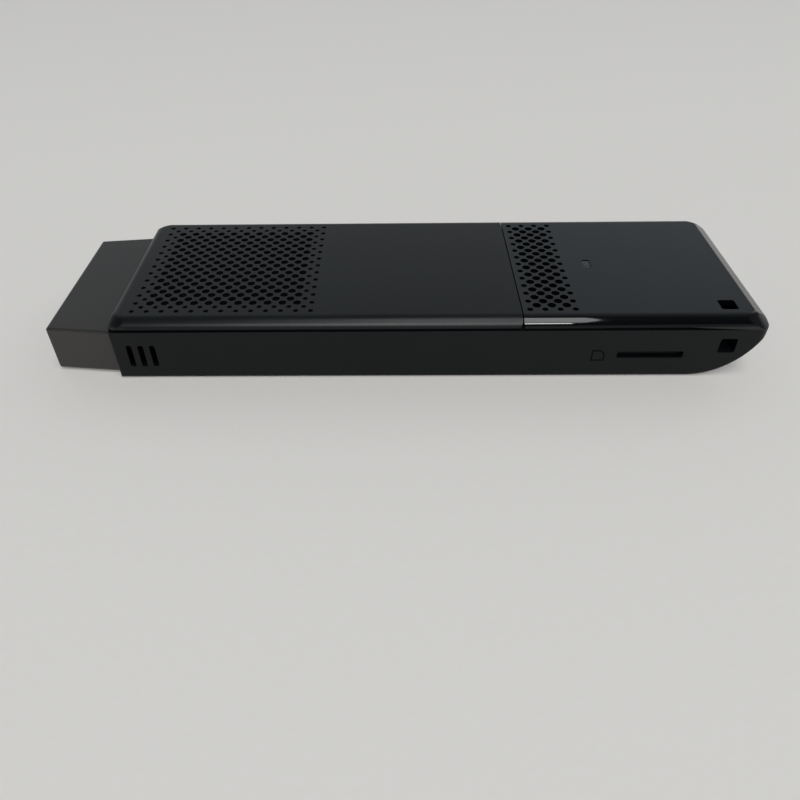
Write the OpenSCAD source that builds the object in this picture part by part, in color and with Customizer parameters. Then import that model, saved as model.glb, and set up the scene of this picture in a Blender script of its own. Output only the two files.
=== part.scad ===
// Stick computer that plugs straight into a display: a flat moulded housing with a video plug under a
// cap at one end, a card slot on one long side, ports on the other and an upswept tail.
// Lengths are in millimetres. The origin lies under the middle of the whole object, with the plug
// towards -X, the card slot side towards -Y and the grilles upwards.

/* [Housing] */
// Length of the housing without its plug cap
body_len = 113.5; // [110:0.1:130]
// Width of the housing
body_w = 38; // [37:0.5:46]
// Height of the housing
body_h = 12; // [12:0.1:15]
// Thickness of the side walls
wall_t = 1.4; // [1.1:0.1:1.7]
// Thickness of the floor and of the tail's wall
floor_t = 1.3; // [1:0.1:1.6]
// Radius of the upright and lower edges at the plug end
end_edge_r = 0.4; // [0.3:0.05:0.6]
// Radius of the edges along the floor
foot_r = 0.7; // [0.4:0.1:1.1]
// Radius of the upswept tail
tail_r = 12.4; // [9:0.2:15]
// Radius of the upright corners at the tail
tail_corner_r = 1.8; // [1.2:0.1:2.6]

/* [Top covers] */
// Height of the covers above the parting line
cover_h = 2.2; // [1.8:0.1:2.6]
// Thickness of the covers' top plates
cover_t = 1.2; // [0.9:0.1:1.5]
// Radius of the edge rolled along both long sides
edge_r = 2.2; // [1.6:0.1:2.6]
// Radius of the edge at the plug end
plug_edge_r = 1.4; // [0.8:0.1:1.8]
// Slope of the facet along the tail's edge, in degrees
tail_slope = 28; // [22:1:38]
// Length of that facet down its slope
tail_facet = 2; // [1.4:0.1:2.2]
// Radius of the top plate's corners
top_corner_r = 2.2; // [1.4:0.1:2.6]
// Height of the shadow groove that the covers leave above both long walls
groove_h = 0.55; // [0.3:0.05:0.7]
// Depth of that groove
groove_d = 0.7; // [0.4:0.05:0.9]
// Distance from the plug end to the seam between the two covers
seam_x = 71.5; // [69:0.5:80]
// Width of the seam between the two covers
seam_gap = 0.2; // [0.1:0.05:0.4]
// Radius of the covers' upright corners at the seam
seam_corner_r = 0.7; // [0.3:0.1:0.9]
// Thickness of the rib under each cover along the seam
seam_rib = 1; // [0.6:0.1:1.5]
// Depth of the lip that centres a cover inside the walls
lip_h = 0.9; // [0.5:0.1:1]
// Thickness of that lip
lip_t = 0.8; // [0.5:0.1:1.2]

/* [Grilles] */
// Spacing of the holes in a row and from row to row
grille_pitch = 2.6; // [2.4:0.05:2.7]
// Rows of holes across the housing, and columns of the large grille
grille_rows = 13; // [9:1:13]
// Columns of holes in the small grille
end_columns = 4; // [2:1:5]
// Distance from the plug end to the large grille's first column
grille_x = 3.85; // [3.5:0.05:8]
// Distance from the seam to the small grille's first column
end_grille_x = 1.4; // [1.2:0.05:3]
// Diameter of the large grille's holes
hole_d = 1.4; // [0.8:0.05:1.5]
// Diameter of the small holes round the large grille
rim_hole_d = 0.9; // [0.5:0.05:1]
// Diameter of the small grille's holes
end_hole_d = 1.5; // [0.8:0.05:1.55]
// Diameter of the small holes round the small grille
end_rim_hole_d = 1.05; // [0.5:0.05:1.2]

/* [Side vents] */
// Number of vent slots on each long side
vent_count = 3; // [2:1:4]
// Distance from the plug end to the first slot
vent_x = 2.97; // [2.8:0.05:4]
// Spacing of the slots
vent_pitch = 2.05; // [1.8:0.05:2.2]
// Width of a slot
vent_w = 1; // [0.6:0.05:1.2]
// Height of a slot
vent_h = 4.5; // [3:0.1:5.5]
// Height of the slots' middle above the ground
vent_z = 4.85; // [4:0.05:5.5]
// Radius of a slot's ends
vent_r = 0.4; // [0.1:0.05:0.45]

/* [Indicator] */
// Distance from the plug end to the indicator window
led_x = 85.7; // [84:0.1:95]
// Width of the window
led_w = 1.4; // [1.2:0.1:1.8]
// Length of the window across the housing
led_len = 2.8; // [2:0.1:3]

/* [Lanyard loop] */
// Distance from the tail to the middle of the loop's holes
lanyard_tail = 6.5; // [5.8:0.1:7]
// Width of both holes along the housing
lanyard_w = 2.9; // [2.2:0.1:3.2]
// Reach of the top hole across the housing, and height of the side hole
lanyard_len = 2.9; // [2.2:0.1:3.2]
// Distance from the side to the top hole
lanyard_edge = 3.1; // [2.6:0.1:4]
// Distance from the parting line down to the side hole
lanyard_drop = 1.8; // [1.5:0.1:2.2]
// Thickness of the pocket's walls
pocket_t = 0.9; // [0.6:0.1:1]

/* [Plug cap] */
// Length of the cap
cap_len = 12.1; // [11.8:0.1:15]
// Width of the cap at its outer end
cap_tip_w = 32.8; // [30:0.1:34]
// Width of the cap against the housing
cap_base_w = 35.1; // [34:0.1:36.5]
// Height of the cap
cap_h = 8.6; // [8:0.1:9.2]
// Thickness of the cap's walls
cap_t = 1.1; // [0.8:0.1:1.3]
// Radius of the cap's edges
cap_edge_r = 0.5; // [0.4:0.1:1]
// Gap between the cap and the housing
cap_gap = 0.15; // [0.1:0.05:0.4]

/* [Video plug] */
// Width of the plug's shell
plug_w = 13.9; // [13.5:0.05:14.2]
// Height of the plug's shell
plug_h = 4.45; // [4.3:0.05:4.6]
// Length of the plug outside the housing
plug_len = 10.7; // [10:0.1:10.8]
// Height of the plug's middle above the ground
plug_z = 4.7; // [4.5:0.05:5.1]
// Thickness of the shell's sheet
plug_t = 0.3; // [0.2:0.05:0.4]
// Width and height that the keying cuts from the lower corners
plug_key = 1.75; // [1:0.05:2]
// Length of the plug's block inside the housing
plug_block_len = 8.6; // [7.5:0.1:9]

/* [Circuit board] */
// Height of the board's underside above the ground
board_z = 3; // [2.8:0.05:3.2]
// Thickness of the board
board_t = 1; // [0.8:0.05:1.2]
// Gap between the board and what it lies beside
board_gap = 0.3; // [0.2:0.05:0.5]
// Distance from the tail to the board's end
board_tail = 10.8; // [9.5:0.1:12]
// Diameter of the board screws
screw_d = 1.6; // [1.4:0.1:2]
// Diameter of the screw posts
post_d = 3.8; // [3.2:0.1:4.4]

/* [Ports] */
// Width of a data port's shell
port_w = 13.1; // [12.8:0.1:13.6]
// Height of a data port's shell
port_h = 5.7; // [5.5:0.05:5.9]
// Length of a data port's shell
port_len = 14; // [12:0.1:14.5]
// Thickness of the shells' sheet
port_t = 0.3; // [0.2:0.05:0.4]
// Height of the ports' middle above the board
port_lift = 1.4; // [1.2:0.05:1.5]
// Width of the power inlet's shell
inlet_w = 7.6; // [7.2:0.1:8]
// Height of the power inlet's shell
inlet_h = 2.8; // [2.6:0.05:3]
// Length of the power inlet's shell
inlet_len = 5.4; // [5:0.1:6]
// Depth of the ports' mouths behind the housing's side
port_recess = 0.3; // [0:0.05:0.6]

/* [Power button] */
// Distance from the tail to the button's middle
button_tail = 19.5; // [18:0.1:22]
// Width of the button
button_w = 5.6; // [4:0.1:6.5]
// Height of the button
button_h = 2.4; // [2:0.1:2.6]
// Height of the button's middle above the board
button_lift = 2.1; // [2:0.05:2.4]
// How far the button stands out of the side
button_proud = 0.4; // [0.35:0.05:0.7]
// Travel of the button
button_travel = 0.3; // [0.2:0.05:0.35]

/* [Card socket] */
// Distance from the tail to the middle of the card slot
card_tail = 19.4; // [18:0.1:22]
// Width of the slot in the side
card_slot_w = 11.5; // [11.2:0.1:12]
// Height of the slot in the side
card_slot_h = 1.4; // [1.2:0.05:1.5]
// Length of the socket
card_len = 14.6; // [14:0.1:16]
// Height of the socket
card_h = 1.4; // [1.4:0.05:1.8]
// Travel of the push slider
card_travel = 1.2; // [0.8:0.1:1.5]

/* [Cooling] */
// Length of the fan along the housing
fan_l = 26; // [25:0.1:28]
// Width of the fan
fan_w = 28; // [27:0.1:30]
// Radius of the impeller
rotor_r = 11; // [10:0.1:11.3]
// Radius of the impeller's hub
hub_r = 5; // [4.5:0.1:5.5]
// Number of impeller blades
blade_count = 19; // [11:1:23]
// Thickness of an impeller blade
blade_t = 0.5; // [0.4:0.05:0.7]
// Radius that a blade is curved to
blade_bend_r = 9; // [7:0.5:12]
// Diameter of the fan's shaft
shaft_d = 1.5; // [1.2:0.1:1.8]
// Thickness of the heat sink's plate
plate_t = 0.8; // [0.6:0.1:1]
// Thickness of a cooling fin
fin_t = 0.3; // [0.2:0.05:0.5]

/* [Chips] */
// Side of the processor's package
chip_side = 15; // [13:0.5:16]
// Height of the processor with its die
chip_h = 1.2; // [1:0.1:1.4]
// Thickness of the pad between processor and heat sink
pad_t = 0.3; // [0.2:0.05:0.5]
// Length of the wireless module
radio_len = 14; // [12:0.5:15]
// Width of the wireless module
radio_w = 12; // [10:0.5:12.5]
// Length of the shield over the power stage
shield_len = 13; // [11:0.5:14]
// Width of the shield
shield_w = 7.4; // [6.5:0.1:8]

/* [Fits] */
// Gap between pieces that slip into each other
fit_gap = 0.1; // [0.05:0.01:0.2]
// Radial gap between the fan's shaft and its bearing
run_gap = 0.03; // [0.02:0.01:0.05]

/* [Hidden] */
// Ends of the housing, start of the tail's curve, and the seam, along X
total_len = body_len + cap_len;
body_x = cap_len - total_len / 2;
tail_x = body_x + body_len;
seam_mid = body_x + seam_x;
// Heights of the parting line, the covers' lips and the covers' undersides
part_z = body_h - cover_h;
lip_z = part_z - lip_h;
ceiling_z = body_h - cover_t;
// Start of the tail's curve, which meets the covers' edge just above the parting line
tail_rise = 0.1;
tail_meet_z = min(part_z + tail_rise, tail_r);
knee_x = tail_x - sqrt(pow(tail_r, 2) - pow(tail_r - tail_meet_z, 2));
// Radius of the side rolls within the covers' height, and the least radius of an inner corner
roll_r = min(edge_r, cover_h);
inner_corner_r = 0.3;
// Round below the tail's facet, which ends upright at the parting line, and the reach of both along X
tail_round_r = (cover_h - tail_facet * sin(tail_slope)) / cos(tail_slope);
tail_reach = tail_round_r * (1 - sin(tail_slope)) + tail_facet * cos(tail_slope);
// Slope at which the cut round a top corner runs out, and its lift clear of the side rolls
corner_slope = 40;
corner_lift = 0.05;
// Distances from the tail at which the shadow grooves start to run out and end
groove_fade = 14;
groove_end = 2.5;
// Outer and inner faces of the long sides
side_y = body_w / 2;
inner_y = side_y - wall_t;
// Room left round a loose piece, and a cut's reach past the face it opens
loose_gap = 0.3;
over = 1;
// Board
board_top = board_z + board_t;
plug_back = body_x + plug_block_len;
board_x0 = plug_back + board_gap;
board_x1 = tail_x - board_tail;
board_y = inner_y - board_gap;
// Fan and heat sink
plate_z = board_top + chip_h + pad_t;
fan_z = plate_z + plate_t;
fan_top = ceiling_z - loose_gap;
fan_front_gap = 1.6;
fan_x0 = plug_back + fan_front_gap;
fan_x1 = fan_x0 + fan_l;
fan_mid = fan_x0 + fan_l / 2;
fan_base_t = 0.5;
fan_lid_t = 0.3;
fan_corner_r = 2.5;
fan_room = 0.9;
fan_ear = 2.2;
fan_lid_z = fan_top - fan_lid_t;
fan_ears = [[fan_x0 + fan_ear, -fan_w / 2 + fan_ear],
            [fan_x1 - fan_ear, -fan_w / 2 + fan_ear],
            [fan_x1 - fan_ear, fan_w / 2 - fan_ear]];
fan_screw_d = 1.5;
fan_head_d = 2.8;
fan_head_h = 0.8;
fan_head_drop = 1.2;
fan_head_z = fan_lid_z - fan_head_drop;
outlet_inner_y = 3;
outlet_outer_y = 11.2;
rotor_gap = 0.4;
rotor_z0 = fan_z + fan_base_t + rotor_gap;
rotor_z1 = fan_lid_z - rotor_gap;
hub_t = 0.6;
web_t = 0.4;
web_share = 0.7;
web_r = rotor_r * web_share;
blade_z0 = rotor_z0 + web_t / 2;
blade_drop = 0.2;
magnet_t = 0.7;
bearing_t = 0.9;
shaft_r = shaft_d / 2;
bearing_r = shaft_r + bearing_t;
bearing_top = rotor_z1 - hub_t - loose_gap;
// Power button
button_x = tail_x - button_tail;
button_z = board_top + button_lift;
button_r = 1;
flange_t = 0.7;
flange_rim = 0.6;
flange_w = button_w + 2 * flange_rim;
// Ports along the rear side, which share the run between the fan and the button with equal gaps
rear_gaps = 4;
rear_gap = (button_x - flange_w / 2 - fan_x1 - 2 * port_w - inlet_w) / rear_gaps;
fast_port_x = fan_x1 + rear_gap + port_w / 2;
data_port_x = fast_port_x + port_w + rear_gap;
inlet_x = data_port_x + port_w / 2 + rear_gap + inlet_w / 2;
port_z = board_top + port_lift;
port_mouth_y = side_y - port_recess;
port_back_y = port_mouth_y - port_len;
inlet_z = board_top + inlet_h / 2;
inlet_key = 0.9;
port_corner_r = 0.6;
tongue_w = 11.1;
tongue_t = 1.84;
tongue_lift = 0.65;
tongue_z = port_z + tongue_lift;
tongue_recess = 1;
tongue_block = 3;
contact_t = 0.15;
// Contacts of the data ports: four wide ones, and five fine ones before them in the fast port
wide_count = 4;
wide_pitch = 2.3;
wide_w = 1;
fine_count = 5;
fine_pitch = 2;
fine_w = 0.7;
fine_start = 0.6;
fine_len = 1.6;
fast_start = 3;
fast_len = 5;
data_start = 1.2;
data_len = 6.5;
// Switch behind the button
flange_y = inner_y - fit_gap / 2;
stem_len = 0.6;
plunger_w = 1.4;
plunger_h = 1;
plunger_out = 1;
plunger_in = 0.8;
plunger_y = flange_y - flange_t - stem_len;
switch_y = plunger_y - plunger_out;
switch_w = 4.6;
switch_d = 3;
switch_top = 1.1;
switch_h = button_lift + switch_top;
// Card socket along the front side
card_x = tail_x - card_tail;
card_floor_t = 0.35;
card_sheet_t = 0.2;
card_rail_t = 0.8;
card_lane_w = 1.6;
card_channel_gap = 0.3;
card_channel_w = card_slot_w - card_channel_gap;
card_mouth_gap = 0.2;
card_mouth_y = -inner_y + card_mouth_gap;
card_back_y = card_mouth_y + card_len;
card_base_h = card_h - card_sheet_t;
card_x0 = card_x - card_channel_w / 2 - card_rail_t;
card_lane_x = card_x + card_channel_w / 2;
card_x1 = card_lane_x + card_lane_w + card_rail_t;
card_slot_lift = 0.4;
card_slot_z = board_top + card_floor_t + card_slot_lift;
slider_len = 4;
slider_nose = 1.5;
slider_nose_t = 0.8;
spring_short = 3.3;
spring_len = spring_short + card_travel;
spring_turns = 7;
spring_wire_d = 0.14;
slider_y1 = card_back_y - card_rail_t - spring_len;
// Chips on the board: processor beside the fan, wireless module beside the card socket, power stage at
// the board's end, and a lane left free for the light pipe
chip_fan_gap = 5;
chip_port_gap = 1.6;
chip_x = fan_x1 + chip_fan_gap + chip_side / 2;
chip_y = port_back_y - chip_port_gap - chip_side / 2;
die_side = 9;
die_h = 0.4;
plate_rim = 1.2;
pipe_rim = 0.8;
pipe_gap = 0.1;
led_lane = led_len / 2 + pipe_rim + pipe_gap;
radio_card_gap = 1.4;
radio_pipe_gap = 0.6;
radio_x1 = card_x0 - card_sheet_t - radio_card_gap;
radio_y1 = -led_lane - radio_pipe_gap;
shield_pipe_gap = 0.3;
shield_end_gap = 2.2;
shield_x = board_x1 - shield_end_gap - shield_len / 2;
shield_y0 = led_lane + shield_pipe_gap;
shield_h = 2.4;
shield_t = 0.2;
shield_r = 0.6;
// Chips under the board
memory_len = 8;
memory_w = 7.5;
memory_h = 0.9;
memory_gap_x = 1.2;
memory_gap_y = 0.7;
storage_len = 11.5;
storage_w = 13;
storage_h = 1;
// Screw posts: two beside the fan, one beside the wireless module, one between inlet and switch
post_inset = 2.4;
post_radio_gap = 3.2;
posts = [[fan_mid, -board_y + post_inset],
         [fan_mid, board_y - post_inset],
         [radio_x1 - radio_len - post_radio_gap, -board_y + post_inset],
         [(inlet_x + inlet_w / 2 + button_x - switch_w / 2) / 2, board_y - post_inset]];
screw_head_d = 2.8;
screw_head_h = 0.8;
screw_reach = 1.4;
// Fins between the vents
fin_plug_gap = 1.7;
fin_floor_gap = 0.6;
fin_y0 = plug_w / 2 + fin_plug_gap;
fin_y1 = inner_y - loose_gap;
fin_z0 = floor_t + fin_floor_gap;
fin_z1 = lip_z - loose_gap;
// Lanyard pocket
lanyard_x = tail_x - lanyard_tail;
lanyard_y0 = -side_y + lanyard_edge;
lanyard_y1 = lanyard_y0 + lanyard_len;
lanyard_z1 = part_z - lanyard_drop;
lanyard_z0 = lanyard_z1 - lanyard_len;
lanyard_r = 0.4;
// Antenna films under the end cover
film_t = 0.25;
film_len = 13.5;
film_w = 4.7;
film_tail = 10;
film_x0 = tail_x - film_tail - film_len;
film_y1 = inner_y - fit_gap - lip_t - loose_gap;
// Fine circles
$fn = 48;

// What a round of radius r takes off a square corner that points to +X +Y from the origin
module corner_waste(r) {
  difference() {
    square(r + over);
    circle(r = r);
  }
}

// Rectangle about the origin with round corners
module rounded_rect(l, w, r) {
  difference() {
    square([l, w], center = true);
    for (turn = [0:3])
      rotate(turn * 90)
        translate([(turn % 2 == 0 ? l : w) / 2 - r, (turn % 2 == 0 ? w : l) / 2 - r])
          corner_waste(r);
  }
}

// Plan of the housing, drawn in by inset: fine corners at the plug end and larger ones at the tail
module plan(inset) {
  tail_round = max(tail_corner_r - inset, inner_corner_r);
  plug_round = max(end_edge_r - inset, inner_corner_r);
  difference() {
    translate([body_x + inset, inset - side_y])
      square([body_len - 2 * inset, body_w - 2 * inset]);
    for (side = [0, 1])
      mirror([0, side]) {
        translate([tail_x - inset - tail_round, side_y - inset - tail_round])
          corner_waste(tail_round);
        translate([body_x + inset + plug_round, side_y - inset - plug_round])
          rotate(90)
            corner_waste(plug_round);
      }
  }
}

// Side view of both covers: a round edge at the plug end, a facet with a round below it at the tail
module lid_side() {
  difference() {
    translate([body_x, part_z])
      square([body_len, cover_h]);
    translate([body_x + plug_edge_r, body_h - plug_edge_r])
      rotate(90)
        corner_waste(plug_edge_r);
    translate([tail_x - tail_round_r, part_z])
      rotate(-tail_slope)
        difference() {
          translate([-body_h, 0])
            square(2 * body_h);
          translate([-body_h, 0])
            square([body_h, tail_round_r]);
          circle(r = tail_round_r);
        }
  }
}

// Section of both covers, drawn with Y to the right and Z up, rolled along both sides
module lid_section() {
  difference() {
    translate([-side_y, part_z])
      square([body_w, cover_h]);
    for (side = [0, 1])
      mirror([side, 0])
        translate([side_y - roll_r, body_h - roll_r])
          corner_waste(roll_r);
  }
}

// Turned cut that rounds a top corner: it leaves the top plate like the side rolls do, then runs
// straight down and out, so that the corner stays crisp at the parting line
module corner_cut() {
  rotate_extrude(angle = 90)
    intersection() {
      translate([top_corner_r, part_z - over])
        square([body_h, cover_h + 2 * over]);
      translate([top_corner_r, body_h - roll_r + corner_lift])
        rotate(-corner_slope)
          difference() {
            translate([-body_h, 0])
              square(2 * body_h);
            square([2 * body_h, roll_r]);
            circle(r = roll_r);
          }
    }
}

// Shadow grooves above both long walls, which run out towards the tail
module side_grooves() {
  for (side = [0, 1])
    mirror([0, side, 0])
      translate([0, side_y + over, part_z])
        rotate([90, 0, 0])
          linear_extrude(groove_d + over)
            polygon([[body_x - over, -over], [tail_x - groove_end, -over], [tail_x - groove_end, 0],
                     [tail_x - groove_fade, groove_h], [body_x - over, groove_h]]);
}

// Both covers as one lid: side view, section and plan in common, with rounded top corners and grooves
module rolled_lid() {
  corner_y = side_y - roll_r - top_corner_r;
  difference() {
    intersection() {
      translate([0, side_y, 0])
        rotate([90, 0, 0])
          linear_extrude(body_w)
            lid_side();
      translate([body_x, 0, 0])
        rotate([90, 0, 90])
          linear_extrude(body_len)
            lid_section();
      translate([0, 0, part_z])
        linear_extrude(cover_h)
          plan(0);
    }
    for (side = [0, 1])
      mirror([0, side, 0]) {
        translate([tail_x - tail_reach - top_corner_r, corner_y, 0])
          corner_cut();
        translate([body_x + plug_edge_r + top_corner_r, corner_y, 0])
          rotate(90)
            corner_cut();
      }
    side_grooves();
  }
}

// Section across the lower housing, drawn with Y to the right and Z up, from z0 to z1
module hull_section(w, z0, z1, foot) {
  difference() {
    translate([-w / 2, z0])
      square([w, z1 - z0]);
    if (foot > 0)
      for (side = [0, 1])
        mirror([side, 0])
          translate([w / 2 - foot, z0 + foot])
            rotate(-90)
              corner_waste(foot);
  }
}

// Section of the tail's wheel: a disc of radius r and width w with its rims rounded by foot
module wheel_section(r, w, foot) {
  difference() {
    translate([0, -w / 2])
      square([r, w]);
    if (foot > 0)
      for (side = [0, 1])
        mirror([0, side])
          translate([r - foot, w / 2 - foot])
            corner_waste(foot);
  }
}

// Lower housing as one block up to top, drawn in by side at the walls and by base at floor and tail
module hull_block(side, base, foot, top) {
  w = body_w - 2 * side;
  intersection() {
    union() {
      translate([body_x + side, 0, 0])
        rotate([90, 0, 90])
          linear_extrude(knee_x - body_x - side)
            hull_section(w, base, top, foot);
      translate([knee_x, 0, tail_r])
        rotate([-90, 0, 0])
          rotate_extrude(angle = 90)
            wheel_section(tail_r - base, w, foot);
      if (top > tail_r)
        translate([knee_x, -w / 2, tail_r])
          cube([tail_r - base, w, top - tail_r]);
    }
    linear_extrude(top)
      plan(side);
  }
}

// Pattern of round holes along the top, with rim_rings rings of small holes round the big ones
module grille_holes(columns, x0, big_d, small_d, rim_rings) {
  for (half = [0, 1]) {
    last_column = columns - 1 - half;
    last_row = grille_rows - 1 - half;
    for (column = [0:last_column], row = [0:last_row]) {
      on_rim = column == 0 || row == 0 || column == last_column || row == last_row;
      translate([x0 + (column + half / 2) * grille_pitch, (row - last_row / 2) * grille_pitch, lip_z])
        cylinder(d = on_rim && half < rim_rings ? small_d : big_d, h = body_h, $fn = 24);
    }
  }
}

// Cover blank between x0 and x1: rolled top, hollow underneath and a lip that drops inside the walls
module cover_blank(x0, x1, hollow_x0, hollow_x1) {
  lip_in = wall_t + fit_gap;
  intersection() {
    union() {
      difference() {
        rolled_lid();
        intersection() {
          translate([0, 0, lip_z])
            linear_extrude(ceiling_z - lip_z)
              plan(lip_in + lip_t);
          translate([hollow_x0, -body_w, 0])
            cube([hollow_x1 - hollow_x0, 2 * body_w, body_h]);
        }
      }
      intersection() {
        translate([0, 0, lip_z])
          linear_extrude(lip_h)
            difference() {
              plan(lip_in);
              plan(lip_in + lip_t);
            }
        hull_block(lip_in, floor_t + fit_gap, 0, part_z);
      }
    }
    translate([x0, -body_w, 0])
      cube([x1 - x0, 2 * body_w, 2 * body_h]);
  }
}

// Upright rounds at a cover's two seam corners, where the cover ends at x and lies towards -facing
module seam_rounds(x, facing) {
  for (side = [-1, 1])
    translate([x - facing * seam_corner_r, side * (side_y - seam_corner_r), lip_z - over])
      linear_extrude(body_h)
        mirror([facing < 0 ? 1 : 0, 0])
          mirror([0, side < 0 ? 1 : 0])
            corner_waste(seam_corner_r);
}

// Outline of a plug or inlet with both lower corners cut off, drawn with Y to the right and Z up
module keyed_outline(w, h, key, grow) {
  a = w / 2 + grow;
  b = h / 2 + grow;
  polygon([[-a, b], [a, b], [a, key - b], [a - key, -b], [key - a, -b], [-a, key - b]]);
}

// Draws its children, flat, across the rear side: X stays, Y becomes height, and depth runs inwards
module from_rear(x, y, z, depth) {
  translate([x, y, z])
    rotate([90, 0, 0])
      linear_extrude(depth)
        children();
}

// Slots that breathe through both long sides beside the plug
module side_vents() {
  for (i = [0:vent_count - 1])
    from_rear(body_x + vent_x + i * vent_pitch, side_y + over, vent_z, body_w + 2 * over)
      rounded_rect(vent_w, vent_h, vent_r);
}

// Openings for the ports and the button in the rear side
module rear_openings() {
  depth = wall_t + 2 * over;
  for (x = [fast_port_x, data_port_x])
    from_rear(x, side_y + over, port_z, depth)
      rounded_rect(port_w + 2 * fit_gap, port_h + 2 * fit_gap, port_corner_r);
  from_rear(inlet_x, side_y + over, inlet_z, depth)
    keyed_outline(inlet_w, inlet_h, inlet_key, fit_gap);
  from_rear(button_x, side_y + over, button_z, depth)
    rounded_rect(button_w + 2 * fit_gap, button_h + 2 * fit_gap, button_r + fit_gap);
}

// Lower housing with walls, floor, upswept tail, screw posts and the lanyard's pocket
module bottom_shell() {
  pocket_x = lanyard_x - lanyard_w / 2;
  color("#202223")
    difference() {
      union() {
        difference() {
          hull_block(0, 0, foot_r, part_z);
          hull_block(wall_t, floor_t, 0, part_z + over);
        }
        for (p = posts)
          translate([p[0], p[1], floor_t / 2])
            cylinder(d = post_d, h = board_z - floor_t / 2);
        translate([pocket_x - pocket_t, -side_y + wall_t / 2, lanyard_z0 - pocket_t])
          cube([lanyard_w + 2 * pocket_t, lanyard_y1 + pocket_t + side_y - wall_t / 2,
                lip_z - fit_gap - lanyard_z0 + pocket_t]);
      }
      translate([body_x + end_edge_r, side_y + over, end_edge_r])
        rotate([90, 0, 0])
          linear_extrude(body_w + 2 * over)
            rotate(180)
              corner_waste(end_edge_r);
      side_vents();
      rear_openings();
      translate([body_x - over, 0, plug_z])
        rotate([90, 0, 90])
          linear_extrude(wall_t + 2 * over)
            keyed_outline(plug_w, plug_h, plug_key, fit_gap);
      from_rear(card_x, -inner_y + 0.5 * wall_t, card_slot_z, 2 * wall_t)
        rounded_rect(card_slot_w, card_slot_h, card_slot_h / 4);
      from_rear(lanyard_x, lanyard_y0, (lanyard_z0 + lanyard_z1) / 2, lanyard_edge + over)
        rounded_rect(lanyard_w, lanyard_len, lanyard_r);
      translate([pocket_x, -inner_y, lanyard_z0])
        cube([lanyard_w, lanyard_y1 + inner_y, part_z]);
      for (p = posts)
        translate([p[0], p[1], board_z - screw_reach])
          cylinder(d = screw_d + fit_gap, h = board_z);
    }
}

// Matte cover over the fan, with the large grille
module top_cover() {
  x1 = seam_mid - seam_gap / 2;
  color("#2b2d30")
    difference() {
      cover_blank(body_x - over, x1, body_x, x1 - seam_rib);
      grille_holes(grille_rows, body_x + grille_x, hole_d, rim_hole_d, 2);
      seam_rounds(x1, 1);
    }
}

// Glossy cover at the tail, with the small grille, the indicator window and the lanyard hole
module end_cover() {
  x0 = seam_mid + seam_gap / 2;
  color("#303336")
    difference() {
      cover_blank(x0, tail_x + over, x0 + seam_rib, tail_x);
      grille_holes(end_columns, seam_mid + end_grille_x, end_hole_d, end_rim_hole_d, 1);
      seam_rounds(x0, -1);
      translate([body_x + led_x, 0, lip_z])
        linear_extrude(body_h)
          square([led_w, led_len], center = true);
      translate([lanyard_x, (lanyard_y0 + lanyard_y1) / 2, lip_z])
        linear_extrude(body_h)
          rounded_rect(lanyard_w, lanyard_len, lanyard_r);
    }
}

// Smoke-grey cap over the plug: a tapered shell with ribs that grip the plug
module plug_cap() {
  base_x = body_x - cap_gap;
  tip_x = body_x - cap_len;
  room_h = cap_h - 2 * cap_t;
  rib_t = 0.8;
  grip_y = plug_w / 2 + fit_gap;
  color("#3d3b39")
    union() {
      difference() {
        hull()
          for (side = [-1, 1], level = [-1, 1]) {
            translate([tip_x + cap_edge_r, side * (cap_tip_w / 2 - cap_edge_r),
                       plug_z + level * (cap_h / 2 - cap_edge_r)])
              sphere(r = cap_edge_r, $fn = 32);
            translate([base_x - cap_edge_r, side * (cap_base_w / 2 - cap_edge_r),
                       plug_z + level * (cap_h / 2 - cap_edge_r)])
              rotate([0, 90, 0])
                cylinder(r = cap_edge_r, h = cap_edge_r, $fn = 32);
          }
        translate([0, 0, plug_z - room_h / 2])
          linear_extrude(room_h)
            polygon([[tip_x + cap_t, cap_t - cap_tip_w / 2], [base_x + over, cap_t - cap_base_w / 2],
                     [base_x + over, cap_base_w / 2 - cap_t], [tip_x + cap_t, cap_tip_w / 2 - cap_t]]);
      }
      for (side = [-1, 1])
        translate([tip_x + cap_t / 2, side * (grip_y + rib_t / 2), plug_z])
          translate([0, -rib_t / 2, -room_h / 2 - cap_t / 2])
            cube([plug_len, rib_t, room_h + cap_t]);
      for (rib = [-1:1], level = [-1, 1]) {
        grip_z = plug_h / 2 + fit_gap;
        rib_h = cap_h / 2 - cap_t / 2 - grip_z;
        translate([tip_x + cap_t / 2, rib * plug_w / 4, plug_z + level * (grip_z + rib_h / 2)])
          translate([0, -rib_t / 2, -rib_h / 2])
            cube([plug_len, rib_t, rib_h]);
      }
    }
}

// Clear block that carries the indicator's light up to its window
module light_pipe() {
  flange_h = 0.7;
  led_room = 0.9;
  color("#c9d4dc")
    translate([body_x + led_x, 0, 0])
      union() {
        translate([0, 0, ceiling_z - flange_h])
          linear_extrude(flange_h)
            square([led_w + 2 * pipe_rim, led_len + 2 * pipe_rim], center = true);
        translate([0, 0, board_top + led_room])
          linear_extrude(body_h - loose_gap / 2 - board_top - led_room)
            square([led_w - fit_gap, led_len - fit_gap], center = true);
      }
}

// Indicator chip on the board, under the light pipe
module status_led() {
  led_chip = [1.6, 0.8, 0.6];
  color("#e8e4d0")
    translate([body_x + led_x - led_chip[0] / 2, -led_chip[1] / 2, board_top])
      cube(led_chip);
}

// Push button in the rear side: key, retaining flange and stem
module power_button() {
  color("#242628") {
    from_rear(button_x, side_y + button_proud, button_z, side_y + button_proud - flange_y)
      rounded_rect(button_w, button_h, button_r);
    from_rear(button_x, flange_y, button_z, flange_t)
      rounded_rect(flange_w, button_h + 2 * flange_rim, button_r);
    from_rear(button_x, flange_y - flange_t, button_z, stem_len)
      square([plunger_w, plunger_h], center = true);
  }
}

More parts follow.
